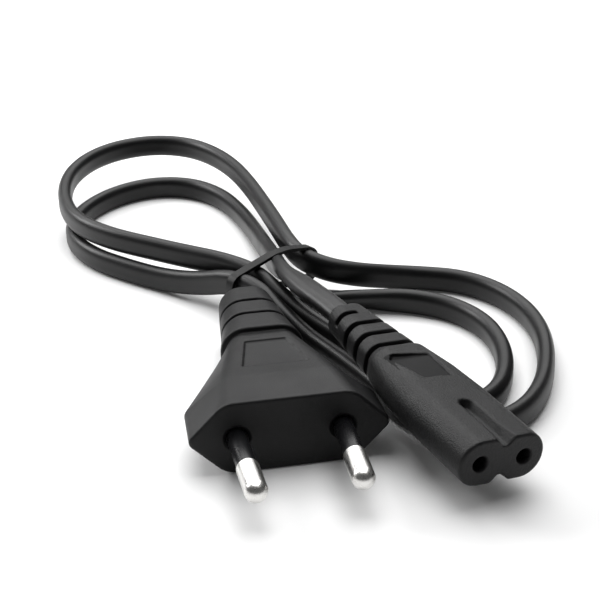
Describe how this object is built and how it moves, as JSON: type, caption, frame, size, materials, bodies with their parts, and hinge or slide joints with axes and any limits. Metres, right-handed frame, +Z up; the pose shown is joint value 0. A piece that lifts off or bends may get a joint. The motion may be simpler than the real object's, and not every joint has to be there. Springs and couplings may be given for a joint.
{
  "type": "figure eight power lead",
  "caption": "Flat twin mains lead in a tied hank, with a slim leaning-pin plug and a slotted figure eight connector for small appliances.",
  "frame": {"origin": "on the surface the lead lies on, below the middle of the box round the plug and the connector", "axes": "+Z up, +Y from the plug's face back along its neck, +X to the right, towards the connector"},
  "size_m": [0.0958, 0.18, 0.0152],
  "materials": {
    "black_pvc": "satin black soft plastic, moulded",
    "cord_jacket": "satin black extruded jacket",
    "inner_plastic": "hard black moulding",
    "sleeve_plastic": "smooth black sleeve",
    "nickelled_brass": "bright nickel plate",
    "contact_brass": "plain rolled brass",
    "copper": "bare stranded copper",
    "blue_insulation": "blue insulation",
    "brown_insulation": "brown insulation",
    "tie_plastic": "thin black tape",
    "tie_steel": "soft iron wire"
  },
  "bodies": {
    "root": {"plug_overmould": "black_pvc", "plug_pin_carrier": "inner_plastic", "plug_pin_left": "nickelled_brass", "plug_pin_right": "nickelled_brass", "pin_sleeve_left": "sleeve_plastic", "pin_sleeve_right": "sleeve_plastic", "plug_conductor_blue": "copper", "plug_conductor_brown": "copper", "plug_core_blue": "blue_insulation", "plug_core_brown": "brown_insulation", "cord": "cord_jacket", "connector_overmould": "black_pvc", "connector_insert": "inner_plastic", "connector_contact_left": "contact_brass", "connector_contact_right": "contact_brass", "connector_conductor_blue": "copper", "connector_conductor_brown": "copper", "connector_core_blue": "blue_insulation", "connector_core_brown": "brown_insulation", "twist_tie_tape": "tie_plastic", "twist_tie_wire": "tie_steel"}
  },
  "joints": []
}
